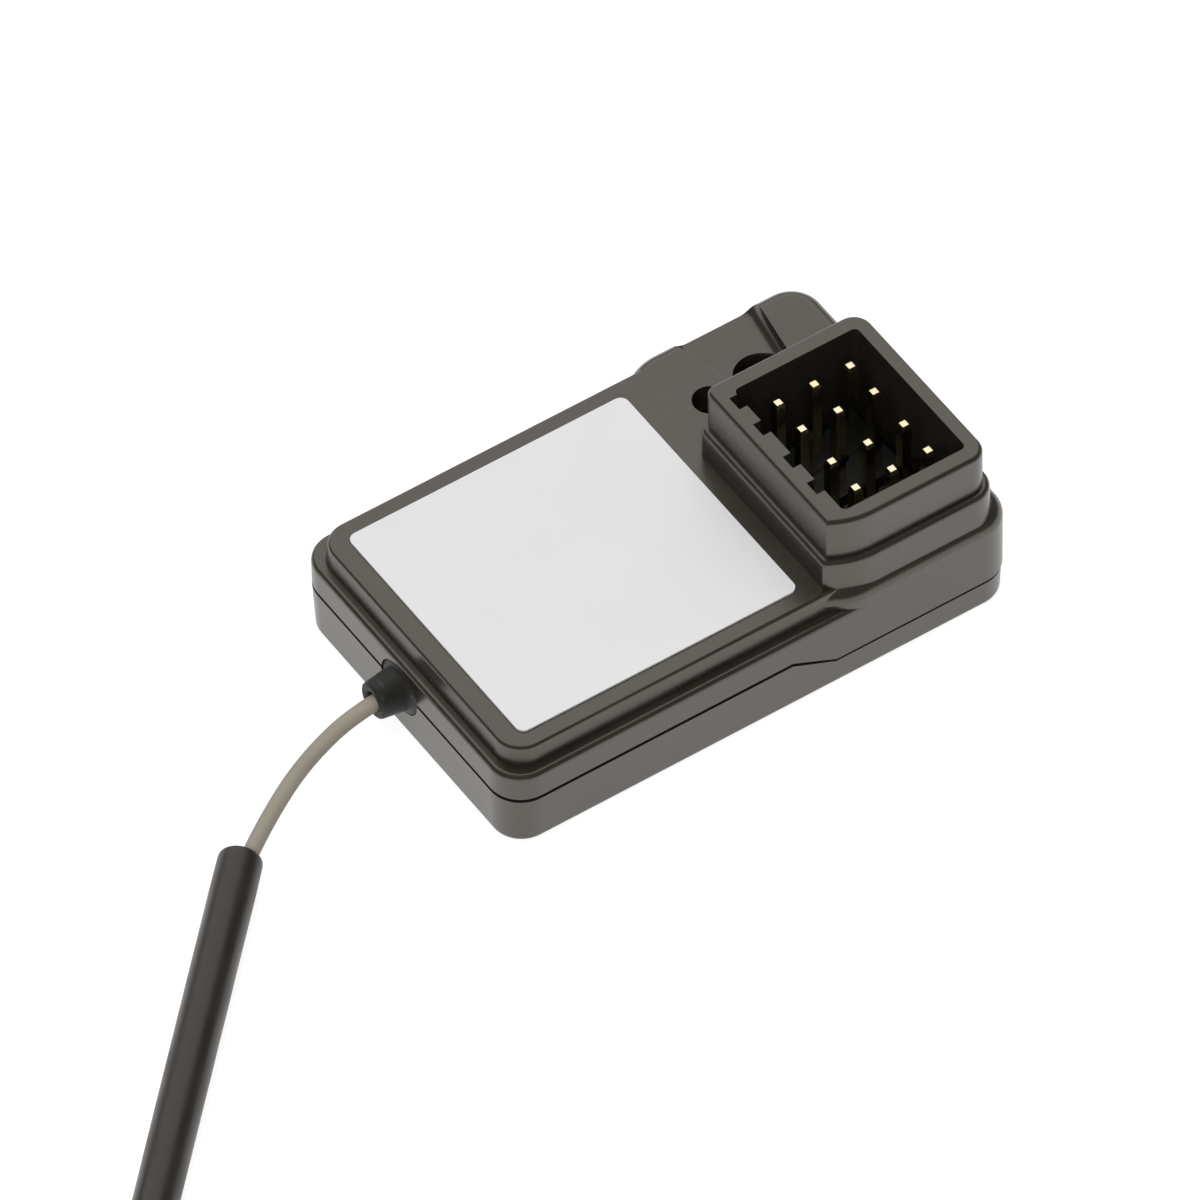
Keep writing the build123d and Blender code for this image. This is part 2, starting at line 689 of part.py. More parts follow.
# Coaxial lead: jacket along the route, with the bared core at the board
corner_radii = []
for before, corner, after in zip(lead_route, lead_route[1:], lead_route[2:]):
    shorter_run = min((corner - before).length, (after - corner).length)
    half_turn = radians((corner - before).get_angle(after - corner)) / 2
    corner_radii.append(CORNER_SHARE * shorter_run / tan(half_turn))
with BuildPart() as antenna_coax:
    with BuildLine() as lead_line:
        FilletPolyline(*lead_route, radius=corner_radii)
    with BuildSketch(Plane.YZ.offset(lead_inner_end)):
        with Locations((LEAD_Y, SEAM_HIGH)):
            Circle(lead_radius)
    sweep(path=lead_line.wires()[0])
    with BuildSketch(Plane.YZ.offset(lead_inner_end)):
        with Locations((LEAD_Y, SEAM_HIGH)):
            Circle(CORE_RADIUS)
    extrude(amount=CORE_LENGTH)
finish(antenna_coax.part, "antenna_coax")

# Grommet, turned about the hole it sits in, and pierced by the lead
grommet_face = RELIEF_DEPTH - half_length
flange_face = WALL - half_length
with BuildPart() as antenna_grommet:
    with BuildSketch(Plane.XZ.offset(-LEAD_Y)):
        with BuildLine():
            Polyline(
                (-half_length - GROMMET_REACH, SEAM_HIGH),
                (-half_length - GROMMET_REACH, SEAM_HIGH + GROMMET_TIP_RADIUS),
                (-half_length - GROMMET_COLLAR, SEAM_HIGH + GROMMET_BASE_RADIUS),
                (grommet_face, SEAM_HIGH + GROMMET_BASE_RADIUS),
                (grommet_face, SEAM_HIGH + GROMMET_NECK_RADIUS),
                (flange_face, SEAM_HIGH + GROMMET_NECK_RADIUS),
                (flange_face, SEAM_HIGH + GROMMET_FLANGE_RADIUS),
                (flange_face + GROMMET_FLANGE, SEAM_HIGH + GROMMET_FLANGE_RADIUS),
                (flange_face + GROMMET_FLANGE, SEAM_HIGH),
                close=True,
            )
        make_face()
    revolve(axis=Axis((0, LEAD_Y, SEAM_HIGH), (1, 0, 0)))
    fillet(antenna_grommet.edges().group_by(Axis.X)[0], GROMMET_EDGE)
    add(antenna_coax.part, mode=Mode.SUBTRACT)
finish(antenna_grommet.part, "antenna_grommet")

# Solder that holds the lead's shield and core to the board
with BuildPart() as coax_solder:
    with Locations((SHIELD_JOINT - half_length, LEAD_Y, board_top)):
        Sphere(SHIELD_JOINT_RADIUS)
    with Locations((CORE_JOINT - half_length, LEAD_Y, board_top)):
        Sphere(CORE_JOINT_RADIUS)
    with BuildSketch(Plane.XY.offset(board_top)):
        plain_box(-half_length, 0, -half_width, half_width)
    extrude(amount=-board_top, mode=Mode.SUBTRACT)
    add(antenna_coax.part, mode=Mode.SUBTRACT)
finish(coax_solder.part, "coax_solder")

# Sleeve: a closed tube that lies on its side and grips the lead near its tip
sleeve_side = sleeve_heading.cross(Vector(0, 0, 1)).normalized()
with BuildPart() as antenna_sleeve:
    with BuildSketch(Plane(sleeve_mouth, sleeve_side, sleeve_side.cross(sleeve_heading))):
        with BuildLine():
            Polyline(
                (SLEEVE_BORE_RADIUS, 0),
                (SLEEVE_MOUTH_RADIUS, 0),
                (SLEEVE_END_RADIUS, SLEEVE_LENGTH),
                (0, SLEEVE_LENGTH),
                (0, LEAD_IN_SLEEVE),
                (lead_radius, LEAD_IN_SLEEVE),
                (lead_radius, SLEEVE_GRIP),
                (SLEEVE_BORE_RADIUS, SLEEVE_GRIP_START),
                close=True,
            )
        make_face()
    revolve(axis=Axis(sleeve_mouth, sleeve_heading))
    fillet(antenna_sleeve.edges().sort_by(Axis(sleeve_mouth, sleeve_heading))[-1], SLEEVE_DOME)
finish(antenna_sleeve.part, "antenna_sleeve")

# Radio chip and its crystal, flat on the board
with BuildPart() as radio_chip:
    with BuildSketch(Plane.XY.offset(board_top)):
        with Locations(RADIO_CHIP_PLACE):
            Rectangle(RADIO_CHIP[0], RADIO_CHIP[1])
    extrude(amount=RADIO_CHIP[2])
    with BuildSketch(Plane.XY.offset(board_top + RADIO_CHIP[2])):
        with Locations(RADIO_CHIP_PLACE):
            with Locations((-CHIP_MARK_OFFSET, CHIP_MARK_OFFSET)):
                Circle(CHIP_MARK_RADIUS)
    extrude(amount=-CHIP_MARK_DEPTH, mode=Mode.SUBTRACT)
finish(radio_chip.part, "radio_chip")

with BuildPart() as radio_crystal:
    with BuildSketch(Plane.XY.offset(board_top)):
        with Locations(CRYSTAL_PLACE):
            Rectangle(CRYSTAL[0], CRYSTAL[1])
    extrude(amount=CRYSTAL[2] / 2)
    with BuildSketch(Plane.XY.offset(board_top + CRYSTAL[2] / 2)):
        with Locations(CRYSTAL_PLACE):
            RectangleRounded(
                CRYSTAL[0] - CRYSTAL_LID_INSET, CRYSTAL[1] - CRYSTAL_LID_INSET, CRYSTAL_LID_INSET
            )
    extrude(amount=CRYSTAL[2] / 2)
finish(radio_crystal.part, "radio_crystal")

# Microcontroller with leads on all four sides
lead_offsets = [
    (place - (CONTROLLER_LEADS - 1) / 2) * CONTROLLER_LEAD_PITCH
    for place in range(CONTROLLER_LEADS)
]
with BuildPart() as microcontroller:
    add(raised_body(CONTROLLER, CONTROLLER_PLACE, CONTROLLER_BEVEL))
    with Locations(CONTROLLER_PLACE):
        with PolarLocations(0, 4):
            add(
                bent_leads(
                    CONTROLLER[0], CONTROLLER_LEAD_WIDTH, lead_offsets, CONTROLLER_LEAD_RISE
                )
            )
finish(microcontroller.part, "microcontroller")

# Voltage regulator: three leads on one side, a wide tab on the other
regulator_offsets = [-REGULATOR_LEAD_PITCH, 0, REGULATOR_LEAD_PITCH]
with BuildPart() as voltage_regulator:
    add(raised_body(REGULATOR, REGULATOR_PLACE, REGULATOR_BEVEL))
    with Locations(Location(REGULATOR_PLACE, -90)):
        add(
            bent_leads(
                REGULATOR[1], REGULATOR_LEAD_WIDTH, regulator_offsets, REGULATOR_LEAD_RISE
            )
        )
    with Locations(Location(REGULATOR_PLACE, 90)):
        add(bent_leads(REGULATOR[1], REGULATOR_TAB, [0], REGULATOR_LEAD_RISE))
finish(voltage_regulator.part, "voltage_regulator")

# Capacitors, resistors and inductors
finish(chip(INPUT_CAPACITOR, [INPUT_CAPACITOR_PLACE]), "input_capacitor")
finish(chip(CERAMIC, CERAMIC_PLACES), "ceramic_capacitors")
finish(chip(RESISTOR, RESISTOR_PLACES), "chip_resistors")
finish(chip(INDUCTOR, INDUCTOR_PLACES), "matching_inductors")

# Status light under the round window
with BuildPart() as status_led:
    with BuildSketch(Plane.XY.offset(board_top)):
        with Locations(window_place):
            Rectangle(LED[0], LED[1])
    extrude(amount=LED[2])
    with BuildSketch(Plane.XY.offset(board_top + LED[2])):
        with Locations(window_place):
            Circle(LED_LENS_RADIUS)
    extrude(amount=LED_LENS_HEIGHT, taper=LED_LENS_SLOPE)
finish(status_led.part, "status_led")

print("lead corner radii", [round(radius, 1) for radius in corner_radii])
print("lead centreline", round(lead_line.wires()[0].length, 2))
for piece in finished:
    print(piece.label, round(piece.volume, 2), len(piece.solids()), piece.is_valid)
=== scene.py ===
"""Looks of a radio-control receiver, dressed over its solid model.

The case, label, header pins and circuit board keep their solid shapes and get their
finishes here. The coaxial lead is a smooth cord, and the rubber grommet and the
heat-shrunk sleeve on it are soft forms of their own. Metres, +Z up, in the model's frame.
"""

from __future__ import annotations

import logging
import math
from dataclasses import dataclass, field
from enum import Enum

import bmesh
import bpy
from mathutils import Matrix, Vector, noise


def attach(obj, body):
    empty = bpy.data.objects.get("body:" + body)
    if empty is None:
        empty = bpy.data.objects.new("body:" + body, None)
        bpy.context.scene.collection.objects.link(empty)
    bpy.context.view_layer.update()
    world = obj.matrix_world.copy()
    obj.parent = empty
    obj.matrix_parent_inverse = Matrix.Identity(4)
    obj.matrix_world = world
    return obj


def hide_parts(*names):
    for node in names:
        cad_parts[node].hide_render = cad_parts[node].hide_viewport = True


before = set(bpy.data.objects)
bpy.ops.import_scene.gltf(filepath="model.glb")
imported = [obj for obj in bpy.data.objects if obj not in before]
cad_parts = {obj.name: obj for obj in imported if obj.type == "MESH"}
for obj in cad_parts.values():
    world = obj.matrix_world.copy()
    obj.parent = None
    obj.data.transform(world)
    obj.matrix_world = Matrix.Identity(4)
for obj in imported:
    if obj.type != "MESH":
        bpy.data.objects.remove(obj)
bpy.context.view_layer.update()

log = logging.getLogger("receiver")

MM = 0.001
LATHE_STEPS = 64
MERGE_DISTANCE = 1e-7
ROOT_BODY = "root"
# The linear level of the pale grey that scuffs and dust lift a colour towards.
WEAR_TONE = 0.45
# The Mix node's sockets when it mixes colours, by index, as their names repeat.
MIX_FACTOR, MIX_FIRST, MIX_SECOND, MIX_RESULT = 0, 6, 7, 2


class RayKind(Enum):
    """Rays that see the white studio instead of its true surfaces."""

    CAMERA = "Is Camera Ray"
    GLOSSY = "Is Glossy Ray"
    TRANSMISSION = "Is Transmission Ray"


def grey(level: float) -> tuple[float, float, float, float]:
    """A neutral colour of one linear level."""
    return (level, level, level, 1.0)


@dataclass
class EffectGroups:
    """Shader effects that several finishes share, each built once as a node group.

    A range holds the two levels of a noise or distance that become 0 and 1.
    """

    grain_detail: float = 2.0
    grain_roughness: float = 0.6
    tone_detail: float = 4.0
    tone_roughness: float = 0.55
    tone_range: tuple[float, float] = (0.3, 0.7)
    scuff_turn: tuple[float, float, float] = (0.3, 0.5, 0.9)
    scuff_stretch: tuple[float, float, float] = (1.0, 0.06, 0.6)
    scuff_detail: float = 3.0
    scuff_range: tuple[float, float] = (0.62, 0.72)
    patch_detail: float = 1.0
    patch_share: float = 0.12
    patch_range: tuple[float, float] = (0.5, 0.62)
    upward_range: tuple[float, float] = (0.5, 1.0)
    speck_range: tuple[float, float] = (0.12, 0.04)

    def __post_init__(self) -> None:
        """Builds every shared group."""
        self.grain = self._moulded_grain()
        self.scuffs = self._fine_scuffs()
        self.dust = self._settled_dust()

    @staticmethod
    def _open(
        name: str, inputs: dict[str, str], outputs: dict[str, str]
    ) -> tuple[bpy.types.NodeTree, bpy.types.Node, bpy.types.Node]:
        """Starts a group with its named sockets.

        Args:
            name: the group's name.
            inputs: socket names and types that the group takes.
            outputs: socket names and types that the group gives.

        Returns:
            The tree, its input node and its output node.
        """
        tree = bpy.data.node_groups.new(name, "ShaderNodeTree")
        for socket, kind in inputs.items():
            tree.interface.new_socket(name=socket, in_out="INPUT", socket_type=kind)
        for socket, kind in outputs.items():
            tree.interface.new_socket(name=socket, in_out="OUTPUT", socket_type=kind)
        entry = tree.nodes.new("NodeGroupInput")
        result = tree.nodes.new("NodeGroupOutput")
        return tree, entry, result

    @staticmethod
    def _between(
        tree: bpy.types.NodeTree,
        value: bpy.types.NodeSocket,
        limits: tuple[float, float],
    ) -> bpy.types.NodeSocket:
        """Stretches a value so that its two limits become 0 and 1.

        Args:
            tree: the group's tree.
            value: the socket to stretch.
            limits: what becomes 0 and what becomes 1.

        Returns:
            The stretched value's socket.
        """
        stretch = tree.nodes.new("ShaderNodeMapRange")
        stretch.inputs["From Min"].default_value = limits[0]
        stretch.inputs["From Max"].default_value = limits[1]
        tree.links.new(value, stretch.inputs["Value"])
        return stretch.outputs["Result"]

    @staticmethod
    def _product(
        tree: bpy.types.NodeTree,
        first: bpy.types.NodeSocket,
        second: bpy.types.NodeSocket,
    ) -> bpy.types.NodeSocket:
        """Multiplies two masks.

        Args:
            tree: the group's tree.
            first: one mask's socket.
            second: the other mask's socket.

        Returns:
            The product's socket.
        """
        both = tree.nodes.new("ShaderNodeMath")
        both.operation = "MULTIPLY"
        tree.links.new(first, both.inputs[0])
        tree.links.new(second, both.inputs[1])
        return both.outputs[0]

    def _moulded_grain(self) -> bpy.types.NodeTree:
        """Fine spark-eroded texture of moulded plastic, with a slow change of tone.

        Returns:
            The group's tree.
        """
        tree, entry, result = self._open(
            "moulded_grain",
            {
                "Coordinates": "NodeSocketVector",
                "Grain Scale": "NodeSocketFloat",
                "Tone Scale": "NodeSocketFloat",
            },
            {"Height": "NodeSocketFloat", "Tone": "NodeSocketFloat"},
        )
        links = tree.links
        fine = tree.nodes.new("ShaderNodeTexNoise")
        fine.inputs["Detail"].default_value = self.grain_detail
        fine.inputs["Roughness"].default_value = self.grain_roughness
        slow = tree.nodes.new("ShaderNodeTexNoise")
        slow.inputs["Detail"].default_value = self.tone_detail
        slow.inputs["Roughness"].default_value = self.tone_roughness
        links.new(entry.outputs["Coordinates"], fine.inputs["Vector"])
        links.new(entry.outputs["Coordinates"], slow.inputs["Vector"])
        links.new(entry.outputs["Grain Scale"], fine.inputs["Scale"])
        links.new(entry.outputs["Tone Scale"], slow.inputs["Scale"])
        tone = self._between(tree, slow.outputs["Fac"], self.tone_range)
        links.new(fine.outputs["Fac"], result.inputs["Height"])
        links.new(tone, result.inputs["Tone"])
        return tree

    def _fine_scuffs(self) -> bpy.types.NodeTree:
        """Sparse hairline scratches from handling, in patches.

        Returns:
            The group's tree.
        """
        tree, entry, result = self._open(
            "fine_scuffs",
            {"Coordinates": "NodeSocketVector", "Scale": "NodeSocketFloat"},
            {"Mask": "NodeSocketFloat"},
        )
        links = tree.links
        stretch = tree.nodes.new("ShaderNodeMapping")
        stretch.inputs["Rotation"].default_value = self.scuff_turn
        stretch.inputs["Scale"].default_value = self.scuff_stretch
        lines = tree.nodes.new("ShaderNodeTexNoise")
        lines.inputs["Detail"].default_value = self.scuff_detail
        patches = tree.nodes.new("ShaderNodeTexNoise")
        patches.inputs["Detail"].default_value = self.patch_detail
        wider = tree.nodes.new("ShaderNodeMath")
        wider.operation = "MULTIPLY"
        wider.inputs[1].default_value = self.patch_share
        links.new(entry.outputs["Coordinates"], stretch.inputs["Vector"])
        links.new(stretch.outputs["Vector"], lines.inputs["Vector"])
        links.new(entry.outputs["Scale"], lines.inputs["Scale"])
        links.new(entry.outputs["Coordinates"], patches.inputs["Vector"])
        links.new(entry.outputs["Scale"], wider.inputs[0])
        links.new(wider.outputs[0], patches.inputs["Scale"])
        thin = self._between(tree, lines.outputs["Fac"], self.scuff_range)
        some = self._between(tree, patches.outputs["Fac"], self.patch_range)
        links.new(self._product(tree, thin, some), result.inputs["Mask"])
        return tree

    def _settled_dust(self) -> bpy.types.NodeTree:
        """Faint specks that lie on what faces up.

        Returns:
            The group's tree.
        """
        tree, entry, result = self._open(
            "settled_dust",
            {
                "Coordinates": "NodeSocketVector",
                "Normal": "NodeSocketVector",
                "Scale": "NodeSocketFloat",
                "Amount": "NodeSocketFloat",
            },
            {"Mask": "NodeSocketFloat"},
        )
        links = tree.links
        axes = tree.nodes.new("ShaderNodeSeparateXYZ")
        links.new(entry.outputs["Normal"], axes.inputs["Vector"])
        specks = tree.nodes.new("ShaderNodeTexVoronoi")
        links.new(entry.outputs["Coordinates"], specks.inputs["Vector"])
        links.new(entry.outputs["Scale"], specks.inputs["Scale"])
        upward = self._between(tree, axes.outputs["Z"], self.upward_range)
        dots = self._between(tree, specks.outputs["Distance"], self.speck_range)
        on_top = self._product(tree, dots, upward)
        level = self._product(tree, on_top, entry.outputs["Amount"])
        links.new(level, result.inputs["Mask"])
        return tree


@dataclass(frozen=True)
class Finish:
    """One surface finish: a base colour and its variation, gloss, grain and wear."""

    name: str
    colour: tuple[float, float, float]
    second_colour: tuple[float, float, float]
    roughness: float
    roughness_spread: float = 0.08
    metallic: float = 0.0
    specular: float = 0.5
    specular_tint: tuple[float, float, float] = (1.0, 1.0, 1.0)
    ior: float = 1.5
    coat: float = 0.0
    grain_scale: float = 9000.0
    tone_scale: float = 180.0
    bump_strength: float = 0.15
    bump_depth: float = 0.02 * MM
    scuff_scale: float = 2600.0
    scuff_amount: float = 0.1
    dust_amount: float = 0.0
    dust_scale: float = 900.0

    def build(self, effects: EffectGroups) -> bpy.types.Material:
        """Makes the finish as a procedural material.

        Args:
            effects: the shared node groups.

        Returns:
            The material.
        """
        material = bpy.data.materials.new(self.name)
        material.use_nodes = True
        tree = material.node_tree
        surface = tree.nodes["Principled BSDF"]
        surface.inputs["Metallic"].default_value = self.metallic
        surface.inputs["IOR"].default_value = self.ior
        surface.inputs["Specular IOR Level"].default_value = self.specular
        surface.inputs["Specular Tint"].default_value = (*self.specular_tint, 1.0)
        surface.inputs["Coat Weight"].default_value = self.coat
        place = tree.nodes.new("ShaderNodeTexCoord")
        grain = self._group(tree, effects.grain, place)
        grain.inputs["Grain Scale"].default_value = self.grain_scale
        grain.inputs["Tone Scale"].default_value = self.tone_scale
        scuffs = self._group(tree, effects.scuffs, place)
        scuffs.inputs["Scale"].default_value = self.scuff_scale
        dust = self._group(tree, effects.dust, place)
        tree.links.new(place.outputs["Normal"], dust.inputs["Normal"])
        dust.inputs["Scale"].default_value = self.dust_scale
        dust.inputs["Amount"].default_value = self.dust_amount
        toned = self._mix(tree, grain.outputs["Tone"], self.colour, self.second_colour)
        worn = self._lighten(tree, toned, scuffs.outputs["Mask"], self.scuff_amount)
        dusty = self._lighten(tree, worn, dust.outputs["Mask"], 1.0)
        tree.links.new(dusty, surface.inputs["Base Color"])
        gloss = tree.nodes.new("ShaderNodeMapRange")
        gloss.inputs["To Min"].default_value = self.roughness - self.roughness_spread
        gloss.inputs["To Max"].default_value = self.roughness + self.roughness_spread
        tree.links.new(grain.outputs["Tone"], gloss.inputs["Value"])
        tree.links.new(gloss.outputs["Result"], surface.inputs["Roughness"])
        bump = tree.nodes.new("ShaderNodeBump")
        bump.inputs["Strength"].default_value = self.bump_strength
        bump.inputs["Distance"].default_value = self.bump_depth
        tree.links.new(grain.outputs["Height"], bump.inputs["Height"])
        tree.links.new(bump.outputs["Normal"], surface.inputs["Normal"])
        return material

    @staticmethod
    def _group(
        tree: bpy.types.NodeTree, shared: bpy.types.NodeTree, place: bpy.types.Node
    ) -> bpy.types.Node:
        """Places a shared group in a material, on the object's own coordinates.

        Args:
            tree: the material's tree.
            shared: the group to place.
            place: the material's texture coordinate node.

        Returns:
            The group's node.
        """
        node = tree.nodes.new("ShaderNodeGroup")
        node.node_tree = shared
        tree.links.new(place.outputs["Object"], node.inputs["Coordinates"])
        return node

    @staticmethod
    def _mix(
        tree: bpy.types.NodeTree,
        factor: bpy.types.NodeSocket,
        first: tuple[float, float, float],
        second: tuple[float, float, float],
    ) -> bpy.types.NodeSocket:
        """Blends two colours by a mask.

        Args:
            tree: the material's tree.
            factor: the mask's socket.
            first: the colour where the mask is 0.
            second: the colour where the mask is 1.

        Returns:
            The blended colour's socket.
        """
        mix = tree.nodes.new("ShaderNodeMix")
        mix.data_type = "RGBA"
        mix.inputs[MIX_FIRST].default_value = (*first, 1.0)
        mix.inputs[MIX_SECOND].default_value = (*second, 1.0)
        tree.links.new(factor, mix.inputs[MIX_FACTOR])
        return mix.outputs[MIX_RESULT]

    @staticmethod
    def _lighten(
        tree: bpy.types.NodeTree,
        colour: bpy.types.NodeSocket,
        mask: bpy.types.NodeSocket,
        amount: float,
    ) -> bpy.types.NodeSocket:
        """Lifts a colour towards pale grey where a mask is set.

        Args:
            tree: the material's tree.
            colour: the colour to lift.
            mask: where it is lifted.
            amount: how far, from 0 to 1.

        Returns:
            The lifted colour's socket.
        """
        scaled = tree.nodes.new("ShaderNodeMath")
        scaled.operation = "MULTIPLY"
        scaled.inputs[1].default_value = amount
        tree.links.new(mask, scaled.inputs[0])
        mix = tree.nodes.new("ShaderNodeMix")
        mix.data_type = "RGBA"
        mix.inputs[MIX_SECOND].default_value = grey(WEAR_TONE)
        tree.links.new(scaled.outputs[0], mix.inputs[MIX_FACTOR])
        tree.links.new(colour, mix.inputs[MIX_FIRST])
        return mix.outputs[MIX_RESULT]


CASE_PLASTIC = Finish(
    name="case_plastic",
    colour=(0.022, 0.0185, 0.0145),
    second_colour=(0.028, 0.024, 0.0195),
    roughness=0.27,
    roughness_spread=0.03,
    specular=0.88,
    specular_tint=(1.0, 0.94, 0.85),
    ior=1.58,
    bump_strength=0.07,
    scuff_amount=0.02,
    dust_amount=0.03,
)
LABEL_FILM = Finish(
    name="label_film",
    colour=(0.83, 0.83, 0.83),
    second_colour=(0.85, 0.85, 0.85),
    roughness=0.6,
    specular=0.2,
    grain_scale=5000.0,
    bump_strength=0.05,
    scuff_amount=0.0,
)
PIN_GOLD = Finish(
    name="pin_gold",
    colour=(0.88, 0.73, 0.45),
    second_colour=(0.98, 0.88, 0.66),
    roughness=0.15,
    roughness_spread=0.03,
    metallic=1.0,
    grain_scale=14000.0,
    bump_strength=0.1,
)
HEADER_PLASTIC = Finish(
    name="header_plastic",
    colour=(0.008, 0.008, 0.008),
    second_colour=(0.014, 0.014, 0.013),
    roughness=0.5,
)
SOLDER_MASK = Finish(
    name="solder_mask",
    colour=(0.006, 0.075, 0.03),
    second_colour=(0.01, 0.12, 0.05),
    roughness=0.35,
    coat=0.3,
    tone_scale=900.0,
)
SOLDER = Finish(
    name="solder",
    colour=(0.6, 0.6, 0.62),
    second_colour=(0.72, 0.72, 0.74),
    roughness=0.28,
    metallic=1.0,
)
# The screw's metal is lighter than a dark screw finish. This is painted light: it lifts
# the shaded screw hole and stands in for the reflection off the head.
SCREW_METAL_PAINTED_LIGHT = Finish(
    name="screw_metal_painted_light",
    colour=(0.17, 0.16, 0.15),
    second_colour=(0.22, 0.21, 0.195),
    roughness=0.42,
    metallic=1.0,
)
GROMMET_RUBBER = Finish(
    name="grommet_rubber",
    colour=(0.014, 0.013, 0.012),
    second_colour=(0.022, 0.021, 0.019),
    roughness=0.55,
    specular=0.45,
    grain_scale=7000.0,
    bump_strength=0.4,
)
LEAD_JACKET = Finish(
    name="lead_jacket",
    colour=(0.325, 0.29, 0.235),
    second_colour=(0.365, 0.33, 0.27),
    roughness=0.55,
    specular=0.35,
    tone_scale=260.0,
    bump_strength=0.1,
    scuff_amount=0.05,
)
SHRINK_SLEEVE = Finish(
    name="shrink_sleeve",
    colour=(0.02, 0.0165, 0.0135),
    second_colour=(0.027, 0.0225, 0.0185),
    roughness=0.38,
    specular=0.6,
    specular_tint=(1.0, 0.93, 0.86),
    tone_scale=300.0,
    bump_strength=0.3,
    scuff_amount=0.0,
)
CHIP_BODY = Finish(
    name="chip_body",
    colour=(0.012, 0.012, 0.013),
    second_colour=(0.02, 0.02, 0.021),
    roughness=0.55,
)
CAN_STEEL = Finish(
    name="can_steel",
    colour=(0.6, 0.59, 0.57),
    second_colour=(0.7, 0.69, 0.67),
    roughness=0.3,
    metallic=1.0,
)
CAPACITOR_BODY = Finish(
    name="capacitor_body",
    colour=(0.55, 0.33, 0.05),
    second_colour=(0.62, 0.4, 0.07),
    roughness=0.45,
)
FIRED_CERAMIC = Finish(
    name="fired_ceramic",
    colour=(0.4, 0.3, 0.2),
    second_colour=(0.48, 0.37, 0.26),
    roughness=0.5,
)
LIGHT_LENS = Finish(
    name="light_lens",
    colour=(0.7, 0.25, 0.16),
    second_colour=(0.75, 0.35, 0.25),
    roughness=0.15,
    coat=0.5,
)


def lathe(profile: list[tuple[float, float]], spacing: float) -> bmesh.types.BMesh:
    """Turns a half section about +Z, with rings no wider apart than a spacing.

    Args:
        profile: (radius, height) pairs. The section closes on itself or at the axis.
        spacing: the widest step along the section.

    Returns:
        The turned mesh, closed, with its faces outwards.
    """
    turned = bmesh.new()
    corners = [turned.verts.new((radius, 0.0, height)) for radius, height in profile]
    section = [turned.edges.new(pair) for pair in zip(corners, corners[1:])]
    for edge in section:
        cuts = int(edge.calc_length() / spacing)
        if cuts:
            bmesh.ops.subdivide_edges(turned, edges=[edge], cuts=cuts)
    bmesh.ops.spin(
        turned,
        geom=turned.verts[:] + turned.edges[:],
        cent=(0.0, 0.0, 0.0),
        axis=(0.0, 0.0, 1.0),
        angle=math.tau,
        steps=LATHE_STEPS,
        use_merge=True,
        use_duplicate=False,
    )
    bmesh.ops.remove_doubles(turned, verts=turned.verts[:], dist=MERGE_DISTANCE)
    bmesh.ops.recalc_face_normals(turned, faces=turned.faces[:])
    return turned


def settle(shape: bmesh.types.BMesh, depth: float, scale: float) -> None:
    """Draws a turned wall in by a slow unevenness, as soft plastic sets.

    Args:
        shape: the turned mesh, still about +Z.
        depth: the most that the wall moves inwards.
        scale: how many waves there are to a metre.
    """
    for corner in shape.verts:
        reach = corner.co.xy.length
        if reach > MERGE_DISTANCE:
            level = 0.5 + 0.5 * noise.noise(corner.co * scale)
            corner.co.xy *= 1.0 - depth * min(max(level, 0.0), 1.0) / reach


def place_mesh(
    shape: bmesh.types.BMesh, name: str, place: Matrix, material: bpy.types.Material
) -> bpy.types.Object:
    """Writes a finished bmesh as a smooth object whose place is in its mesh.

    Args:
        shape: the mesh to write, which is freed.
        name: the object's name.
        place: where the mesh goes in the frame.
        material: its finish.

    Returns:
        The object, riding on the receiver.
    """
    bmesh.ops.transform(shape, matrix=place, verts=shape.verts)
    mesh = bpy.data.meshes.new(name)
    shape.to_mesh(mesh)
    shape.free()
    for face in mesh.polygons:
        face.use_smooth = True
    mesh.materials.append(material)
    piece = bpy.data.objects.new(name, mesh)
    bpy.context.scene.collection.objects.link(piece)
    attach(piece, ROOT_BODY)
    log.info("built %s with %d faces", name, len(mesh.polygons))
    return piece


def in_metres(profile_mm: list[tuple[float, float]]) -> list[tuple[float, float]]:
    """Turns a section in millimetres into one in metres."""
    return [(radius * MM, height * MM) for radius, height in profile_mm]


def facing(place_mm: tuple[float, float, float], heading: Vector) -> Matrix:
    """The place of a turned mesh whose +Z points along a heading.

    Args:
        place_mm: where its origin goes, in millimetres.
        heading: where its +Z goes.

    Returns:
        The matrix that moves it there.
    """
    turn = heading.to_track_quat("Z", "Y").to_matrix().to_4x4()
    return Matrix.Translation(Vector(place_mm) * MM) @ turn


def dress_solid(node: str, material: bpy.types.Material) -> None:
    """Puts a finish on a solid model's node.

    Args:
        node: the node's name.
        material: its finish.
    """
    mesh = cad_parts[node].data
    mesh.materials.clear()
    mesh.materials.append(material)
    log.info("dressed %s with %s", node, material.name)


@dataclass
class Enclosure:
    """The two shells, the label and the case screw, which keep their solid shapes."""

    shells: tuple[str, ...] = ("lower_shell", "upper_shell")
    label: str = "case_label"
    screw: str = "case_screw"

    def dress(self, effects: EffectGroups) -> None:
        """Gives each piece of the case its finish.

        Args:
            effects: the shared node groups.
        """
        plastic = CASE_PLASTIC.build(effects)
        for shell in self.shells:
            dress_solid(shell, plastic)
        dress_solid(self.label, LABEL_FILM.build(effects))
        # The screw's colour is lifted, which is painted light in its shaded hole.
        dress_solid(self.screw, SCREW_METAL_PAINTED_LIGHT.build(effects))


